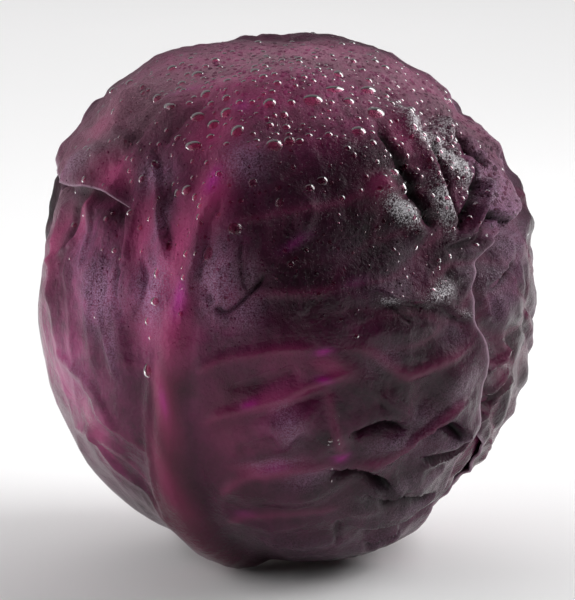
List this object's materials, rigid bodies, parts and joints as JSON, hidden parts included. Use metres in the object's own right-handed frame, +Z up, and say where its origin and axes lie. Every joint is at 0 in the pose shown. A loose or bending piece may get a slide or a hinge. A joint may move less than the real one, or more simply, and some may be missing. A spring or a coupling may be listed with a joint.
{
  "type": "red cabbage head",
  "caption": "Whole red cabbage head wrapped in overlapping outer leaves, standing on the flat cut of its stem; a fresh vegetable for kitchen, shop and market scenes",
  "frame": {"origin": "centre of the bounding box in plan, at the height of the cut face of the stem that the head stands on", "axes": "+Z up from the cut stem to the crown; -Y is the side that the outermost leaf covers"},
  "size_m": [0.1586, 0.1588, 0.1674],
  "materials": {
    "wrapper_leaf": "waxy leaf skin with a pale bloom, wet in places",
    "inner_leaf": "satin leaf skin",
    "cut_stem": "matte, cut across the fibres"
  },
  "bodies": {
    "root": {"inner_head": "inner_leaf", "wrapper_leaf_1": "wrapper_leaf", "wrapper_leaf_2": "wrapper_leaf", "wrapper_leaf_3": "wrapper_leaf", "wrapper_leaf_4": "wrapper_leaf", "wrapper_leaf_5": "wrapper_leaf", "wrapper_leaf_6": "wrapper_leaf", "wrapper_leaf_7": "wrapper_leaf", "wrapper_leaf_8": "wrapper_leaf", "cut_stem": "cut_stem"}
  },
  "joints": []
}
